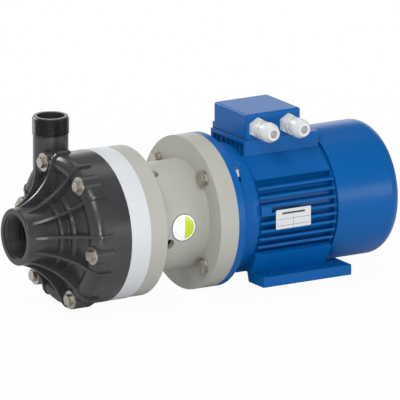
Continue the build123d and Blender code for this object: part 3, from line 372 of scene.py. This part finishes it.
white_polyamide = moulding("white_moulded_polyamide", "#CDCFD1", "#D8D9DA", 0.3, waxy=0.05)
black_rubber = moulding("black_moulded_rubber", "#18181A", "#242426", 0.62, 1.2)
grey_seal = moulding("grey_gland_seal_rubber", "#9A9993", "#AAA9A3", 0.6, 1.2)
black_fan_plastic = moulding("black_fan_plastic", "#242426", "#303032", 0.45)
wetted_plastic = moulding("black_wetted_plastic", "#303236", "#3E4044", 0.4)
filled_carbon = moulding("filled_carbon_bush", "#26272A", "#34363A", 0.38, 0.4)
white_ceramic = moulding("dense_white_ceramic", "#E2DCCB", "#ECE7D8", 0.16, 1.5)
brown_board = moulding("brown_terminal_board", "#4C301F", "#5E3D2A", 0.5)
print("mouldings ready")

# %% [markdown]
# The round sticker on the bracket's neck is printed film: white, with a thin dark blue rim and
# a lime half disc on its right. Rings and halves come from the distance to the sticker's
# middle, measured along the shaft and upwards.

# %% Printed film of the round sticker
STICKER_MIDDLE = (FLANGE_JOINT - 65.0, SHAFT_HEIGHT)
STICKER_RADIUS = 18.0
RIM_WIDTH = 0.9
LIME_INSET = 3.0
LIME_START = 1.5

printed_film, tree, shader, place = start_material("printed_film_sticker", 0.3)
shader.inputs["Coat Weight"].default_value = 0.5
shader.inputs["Coat Roughness"].default_value = 0.15
parts = add(tree, "SeparateXYZ", {"Vector": place})
along = add(
    tree, "Math", {0: parts.outputs["X"], 1: STICKER_MIDDLE[0] * MM}, operation="SUBTRACT"
).outputs[0]
upward = add(
    tree, "Math", {0: parts.outputs["Z"], 1: STICKER_MIDDLE[1] * MM}, operation="SUBTRACT"
).outputs[0]
flat = add(tree, "CombineXYZ", {"X": along, "Y": upward, "Z": 0.0})
reach = add(tree, "VectorMath", {0: flat.outputs[0]}, operation="LENGTH").outputs["Value"]
in_rim = add(
    tree, "Math", {0: reach, 1: (STICKER_RADIUS - RIM_WIDTH) * MM}, operation="GREATER_THAN"
).outputs[0]
inside = add(
    tree, "Math", {0: reach, 1: (STICKER_RADIUS - LIME_INSET) * MM}, operation="LESS_THAN"
).outputs[0]
right = add(tree, "Math", {0: along, 1: LIME_START * MM}, operation="GREATER_THAN").outputs[0]
lime_part = add(tree, "Math", {0: inside, 1: right}, operation="MULTIPLY").outputs[0]
speckle = add(tree, "TexNoise", {"Vector": place, "Scale": per_metre(0.6)})
paper = two_tones(tree, speckle.outputs["Fac"], "#EEF0F2", "#F8F9FA")
lime = add(tree, "Mix", {0: lime_part, 6: paper, 7: linear("#C3D60A")}, data_type="RGBA")
print_colour = add(
    tree, "Mix", {0: in_rim, 6: lime.outputs[2], 7: linear("#1E2748")}, data_type="RGBA"
)
tree.links.new(print_colour.outputs[2], shader.inputs["Base Color"])
print(printed_film.name, "is", 2 * STICKER_RADIUS, "mm across")

# %% [markdown]
# The rating plate is thin white coated aluminium, glued on the tips of the fins. It holds
# nothing but a blank form, as an unprinted plate has: a dark bar at its head, thin grey rules
# below it, and one upright line that parts the rows into two fields.

# %% Coated sheet of the rating plate
PLATE_MIDDLE = (FLANGE_JOINT + 88.0, SHAFT_HEIGHT - 2.7)
RULE_HALF_SPACING = 4.2
RULE_HALF_WIDTH = 0.35
UPRIGHT_HALF_WIDTH = 0.3
FORM_HALF_LENGTH = 23.5
FORM_TOP = 3.0
BAR_HALF_LENGTH = 17.0
BAR_HALF_WIDTH = 1.3
BAR_ABOVE_MIDDLE = 7.6

coated_sheet, tree, shader, place = start_material("white_coated_aluminium_sheet", 0.35)
parts = add(tree, "SeparateXYZ", {"Vector": place})
drop = add(
    tree, "Math", {0: PLATE_MIDDLE[1] * MM, 1: parts.outputs["Z"]}, operation="SUBTRACT"
).outputs[0]
rule = add(
    tree, "Math", {0: drop, 1: RULE_HALF_SPACING * MM}, operation="PINGPONG"
).outputs[0]
on_rule = add(
    tree, "Math", {0: rule, 1: RULE_HALF_WIDTH * MM}, operation="LESS_THAN"
).outputs[0]
side = add(
    tree, "Math", {0: parts.outputs["X"], 1: PLATE_MIDDLE[0] * MM}, operation="SUBTRACT"
).outputs[0]
side = add(tree, "Math", {0: side}, operation="ABSOLUTE").outputs[0]
within = add(
    tree, "Math", {0: side, 1: FORM_HALF_LENGTH * MM}, operation="LESS_THAN"
).outputs[0]
low = add(tree, "Math", {0: drop, 1: -FORM_TOP * MM}, operation="GREATER_THAN").outputs[0]
upright = add(
    tree, "Math", {0: side, 1: UPRIGHT_HALF_WIDTH * MM}, operation="LESS_THAN"
).outputs[0]
on_rule = add(tree, "Math", {0: on_rule, 1: within}, operation="MULTIPLY").outputs[0]
on_rule = add(tree, "Math", {0: on_rule, 1: upright}, operation="MAXIMUM").outputs[0]
on_rule = add(tree, "Math", {0: on_rule, 1: low}, operation="MULTIPLY").outputs[0]
bar = add(
    tree, "Math", {0: drop, 1: -BAR_ABOVE_MIDDLE * MM, 2: BAR_HALF_WIDTH * MM},
    operation="COMPARE",
).outputs[0]
short = add(
    tree, "Math", {0: side, 1: BAR_HALF_LENGTH * MM}, operation="LESS_THAN"
).outputs[0]
bar = add(tree, "Math", {0: bar, 1: short}, operation="MULTIPLY").outputs[0]
speckle = add(tree, "TexNoise", {"Vector": place, "Scale": per_metre(0.7)})
coat = two_tones(tree, speckle.outputs["Fac"], "#CBCED2", "#D4D7DA")
form = add(tree, "Mix", {0: on_rule, 6: coat, 7: linear("#7C8694")}, data_type="RGBA")
form = add(
    tree, "Mix", {0: bar, 6: form.outputs[2], 7: linear("#3C424C")}, data_type="RGBA"
)
tree.links.new(form.outputs[2], shader.inputs["Base Color"])
print(coated_sheet.name, "has rules", 2 * RULE_HALF_SPACING, "mm apart")

# %% [markdown]
# Every CAD piece now gets its finish: its material slots are filled, and its mesh is left
# alone. The hidden pieces get theirs too, for whoever takes the pump apart.

# %% Dress the CAD pieces
FINISHES = {
    black_pp: ["front_casing"],
    white_pp: ["rear_casing", "containment_can"],
    grey_enamel: ["bracket_pump_flange", "bracket_neck", "bracket_motor_end"],
    casting_enamel: ["drive_end_shield", "motor_frame", "near_foot", "far_foot",
                     "fan_end_shield", "terminal_hood"],
    sheet_enamel: ["fan_cowl"],
    stainless: ["casing_bolts", "casing_washers", "flange_bolts", "flange_washers",
                "flange_nuts"],
    zinc_plate: ["drive_end_screws", "foot_screws", "fan_end_screws", "cowl_screws",
                 "hood_screws", "hub_screws", "fan_clip"],
    turned_steel: ["motor_shaft", "outer_magnet_hub", "hub_key", "bearing_spring"],
    polished_steel: ["front_bearing_outer", "front_bearing_inner", "front_bearing_balls",
                     "rear_bearing_outer", "rear_bearing_inner", "rear_bearing_balls"],
    core_sheet: ["stator_core", "rotor_core"],
    nickel_magnet: ["inner_magnets", "outer_magnets"],
    wire_copper: ["stator_windings"],
    stud_brass: ["terminal_studs"],
    white_polyamide: ["gland_bodies", "gland_caps", "gland_lock_nuts"],
    black_rubber: ["casing_seal", "shaft_seal", "terminal_gasket"],
    grey_seal: ["gland_seals"],
    black_fan_plastic: ["cooling_fan"],
    wetted_plastic: ["impeller", "rotor_end_cap", "shaft_support"],
    filled_carbon: ["impeller_bush"],
    white_ceramic: ["pump_shaft", "front_thrust_ring", "rear_thrust_ring", "wear_ring"],
    brown_board: ["terminal_board"],
    printed_film: ["round_label"],
    coated_sheet: ["rating_plate"],
}
dressed = set()
for material, names in FINISHES.items():
    for name in names:
        for material_slot in nodes[name].material_slots:
            material_slot.material = material
        dressed.add(name)
print("dressed", len(dressed), "of", len(nodes), "pieces; left:", sorted(set(nodes) - dressed))

# %% [markdown]
# A helper for everything that is built here: it takes corners and faces, makes a smooth mesh
# object of them, gives it a finish and lets it ride on a body of the pump.

# %% Piece helper


def piece(name, corners, faces, material, body="housing", smooth_angle=35):
    """A mesh piece from corners in metres, riding on a body."""
    mesh = bpy.data.meshes.new(name)
    mesh.from_pydata([tuple(c) for c in corners], [], faces)
    mesh.validate()
    work = bmesh.new()
    work.from_mesh(mesh)
    bmesh.ops.recalc_face_normals(work, faces=work.faces)
    for edge in work.edges:
        edge.smooth = len(edge.link_faces) == 2 and (
            edge.calc_face_angle(0.0) < radians(smooth_angle)
        )
    for face in work.faces:
        face.smooth = True
    work.to_mesh(mesh)
    work.free()
    mesh.materials.append(material)
    thing = bpy.data.objects.new(name, mesh)
    bpy.context.scene.collection.objects.link(thing)
    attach(thing, body)
    return thing


print("piece helper ready")

# %% [markdown]
# The pipe threads. A pipe thread is a ridge that winds round the pipe, 11 turns to the inch,
# with flanks at 55 degrees and rounded crest and root. It is built as a strip of eight points
# carried along a helix. At both ends the ridge fades out, as a real thread runs out.

# %% Pipe threads
STEPS_PER_TURN = 96
RUN_OUT = 0.3 * STEPS_PER_TURN


def pipe_thread(name, centre, axis, first, second, root, length, outward, material):
    """A helical ridge on a cylinder; outward is 1 for a pipe, -1 for the wall of a hole."""
    turns = length / THREAD_PITCH - 1.0
    steps = int(turns * STEPS_PER_TURN)
    profile = [(-0.5, -0.04), (-0.4, 0.10), (-0.14, 0.9), (-0.07, 1.0), (0.07, 1.0),
               (0.14, 0.9), (0.4, 0.10), (0.5, -0.04)]
    corners, faces = [], []
    for step in range(steps + 1):
        turn = 2 * pi * step / STEPS_PER_TURN
        along = THREAD_PITCH * (0.5 + step / STEPS_PER_TURN)
        fade = min(1.0, step / RUN_OUT, (steps - step) / RUN_OUT)
        for shift, height in profile:
            radius = root + outward * THREAD_DEPTH * (height * fade if height > 0 else height)
            reach = first * (radius * cos(turn)) + second * (radius * sin(turn))
            corners.append((centre + axis * (along + shift * THREAD_PITCH) + reach) * MM)
    width = len(profile)
    for step in range(steps):
        for i in range(width - 1):
            a = step * width + i
            faces.append((a, a + 1, a + width + 1, a + width))
        a = step * width
        faces.append((a, a + width, a + 2 * width - 1, a + width - 1))
    faces.append(tuple(range(width)))
    faces.append(tuple(steps * width + i for i in reversed(range(width))))
    return piece(name, corners, faces, material, smooth_angle=70)


X, Y, Z = Vector((1, 0, 0)), Vector((0, 1, 0)), Vector((0, 0, 1))
discharge_thread = pipe_thread(
    "discharge_thread", Vector((*DISCHARGE, DISCHARGE_TOP)) - Z * DISCHARGE_NECK, Z, X, Y,
    DISCHARGE_ROOT, DISCHARGE_THREAD, 1, outer_thread_painted_shade_pp,
)
suction_thread = pipe_thread(
    "suction_thread", Vector((NOZZLE_FACE + SUCTION_START, 0, SHAFT_HEIGHT)), X, Y, Z,
    SUCTION_ROOT, SUCTION_THREAD, -1, inner_thread_pp,
)
print("thread ridges:", len(discharge_thread.data.polygons), len(suction_thread.data.polygons))

# %% [markdown]
# The motor comes without cables, so each gland has a grey dust plug in its seal. A plug is
# turned: a few radii along the gland's axis, carried round it, with a soft edge and a face that
# bulges a little.

# %% Dust plugs of the cable glands
PLUG_PROFILE = [(4.9, 64.0), (4.9, 80.1), (4.7, 80.9), (4.1, 81.4), (2.4, 81.7), (0.0, 81.8)]
STEPS_ROUND = 48


def turned(name, profile, centre, axis, first, second, material):
    """A closed turned piece: radius and reach in millimetres, carried round an axis."""
    corners = [centre + axis * profile[0][1]]
    for radius, reach in profile[:-1]:
        for step in range(STEPS_ROUND):
            turn = 2 * pi * step / STEPS_ROUND
            spoke = first * (radius * cos(turn)) + second * (radius * sin(turn))
            corners.append(centre + axis * reach + spoke)
    corners.append(centre + axis * profile[-1][1])
    faces = []
    last = len(corners) - 1
    for step in range(STEPS_ROUND):
        after = (step + 1) % STEPS_ROUND
        faces.append((0, 1 + after, 1 + step))
        for ring in range(len(profile) - 2):
            a = 1 + ring * STEPS_ROUND
            faces.append((a + step, a + after, a + STEPS_ROUND + after, a + STEPS_ROUND + step))
        a = 1 + (len(profile) - 2) * STEPS_ROUND
        faces.append((a + step, a + after, last))
    piece(name, [c * MM for c in corners], faces, material)


for number, x in enumerate(GLANDS, start=1):
    turned(
        f"dust_plug_{number}", PLUG_PROFILE, Vector((x, 0, GLAND_HEIGHT)), -Y, X, Z,
        grey_seal,
    )
print(len(GLANDS), "dust plugs, each", 2 * PLUG_PROFILE[0][0], "mm thick")

# %% [markdown]
# The studio starts with a pale floor under the pump. To the camera it shows as nearly white,
# with the faintest shadow near the pump, and it goes over into pure white further out; to the
# pump it is plain pale card. So the background is white without more light on the pump.

# %% Floor
FLOOR_HEIGHT = -12.7
FLOOR_HALF = 6.0
PALE_WITHIN = 0.45
WHITE_BEYOND = 1.1
NEARLY_WHITE = 0.965
floor_material = bpy.data.materials.new("pale_studio_floor")
floor_material.use_nodes = True
tree = floor_material.node_tree
tree.nodes.clear()
place = add(tree, "TexCoord").outputs["Object"]
away = add(tree, "VectorMath", {0: place}, operation="LENGTH").outputs["Value"]
far = add(
    tree, "MapRange",
    {"Value": away, "From Min": PALE_WITHIN, "From Max": WHITE_BEYOND,
     "To Min": 0.0, "To Max": 1.0},
).outputs["Result"]
ray = add(tree, "LightPath")
seen = add(
    tree, "Math", {0: ray.outputs["Is Camera Ray"], 1: ray.outputs["Is Transmission Ray"]},
    operation="MAXIMUM",
).outputs[0]
share = add(
    tree, "MapRange", {"Value": far, "To Min": NEARLY_WHITE, "To Max": 1.0}
).outputs["Result"]
share = add(tree, "Math", {0: share, 1: seen}, operation="MULTIPLY").outputs[0]
matt = add(tree, "BsdfDiffuse", {"Color": linear("#E0E0E0")})
white = add(tree, "Emission", {"Color": (1, 1, 1, 1), "Strength": 1.0})
mixed = add(tree, "MixShader", {0: share, 1: matt.outputs[0], 2: white.outputs[0]})
add(tree, "OutputMaterial", {"Surface": mixed.outputs[0]})

floor_mesh = bpy.data.meshes.new("studio_floor")
floor_mesh.from_pydata(
    [(-FLOOR_HALF, -FLOOR_HALF, 0), (FLOOR_HALF, -FLOOR_HALF, 0),
     (FLOOR_HALF, FLOOR_HALF, 0), (-FLOOR_HALF, FLOOR_HALF, 0)],
    [], [(0, 1, 2, 3)],
)
floor_mesh.materials.append(floor_material)
floor = bpy.data.objects.new("studio_floor", floor_mesh)
bpy.context.scene.collection.objects.link(floor)
floor.location = metres(-100, 0, FLOOR_HEIGHT)
floor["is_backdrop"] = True
print("floor at", FLOOR_HEIGHT, "mm")

# %% [markdown]
# The world is a plain white surround. It lights the pump evenly, shows as pure white behind it,
# and is dim in reflections, so that the glossy plastic and the enamel mirror the lamps and stay
# deep elsewhere. Six lamps stand round the pump: the key above the suction end, a soft one from
# the top, a low fill at the cowl's side, two behind that draw the upper edges, and a narrow
# strip at the front that runs as a bright band over the ribs and the volute.

# %% World and lights
DIFFUSE_GLOW = 0.52
GLOSSY_GLOW = 0.22
world = bpy.data.worlds.new("studio_world")
bpy.context.scene.world = world
world.use_nodes = True
tree = world.node_tree
tree.nodes.clear()
ray = add(tree, "LightPath")
seen = add(
    tree, "Math", {0: ray.outputs["Is Camera Ray"], 1: ray.outputs["Is Transmission Ray"]},
    operation="MAXIMUM",
).outputs[0]
glow = add(
    tree, "MapRange",
    {"Value": ray.outputs["Is Glossy Ray"], "To Min": DIFFUSE_GLOW, "To Max": GLOSSY_GLOW},
).outputs["Result"]
strength = add(tree, "Math", {0: seen, 1: glow}, operation="MAXIMUM").outputs[0]
sky = add(tree, "Background", {"Color": (1, 1, 1, 1), "Strength": strength})
add(tree, "OutputWorld", {"Surface": sky.outputs[0]})


def softbox(name, place, aim, width, height, power):
    """A large rectangular lamp that looks at a point."""
    lamp = bpy.data.lights.new(name, "AREA")
    lamp.shape = "RECTANGLE"
    lamp.size = width
    lamp.size_y = height
    lamp.energy = power
    thing = bpy.data.objects.new(name, lamp)
    thing.location = place
    thing.rotation_euler = (Vector(aim) - Vector(place)).to_track_quat("-Z", "Y").to_euler()
    bpy.context.scene.collection.objects.link(thing)


middle = (-0.1, 0, 0.09)
LAMPS = [
    ("key_softbox", (-1.1, -1.0, 1.5), 0.8, 0.8, 14),
    ("top_softbox", (0.2, 0.5, 1.9), 1.4, 1.0, 6),
    ("side_fill", (1.2, -1.6, 0.15), 0.9, 0.7, 9),
    ("back_card", (1.1, 1.9, 0.6), 2.2, 0.9, 8),
    ("back_strip", (-0.6, 1.8, 1.15), 0.9, 0.6, 15),
    ("front_strip", (-0.95, -1.75, 0.25), 0.35, 0.9, 12),
]
for name, place, width, height, power in LAMPS:
    softbox(name, place, middle, width, height, power)
print(len(LAMPS), "soft lights and a white world")

# %% [markdown]
# The last step keeps both boxes, the one of the CAD model and the one of the dressed pump, so
# that they can be compared, and hands over.

# %% Measure and finish
visual_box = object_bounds()


def plain(value):
    """Numbers as plain nested lists."""
    return [plain(v) for v in value] if hasattr(value, "__len__") else float(value)


{"cad": plain(cad_box), "visual": plain(visual_box)}
print("boxes", plain(cad_box), plain(visual_box))
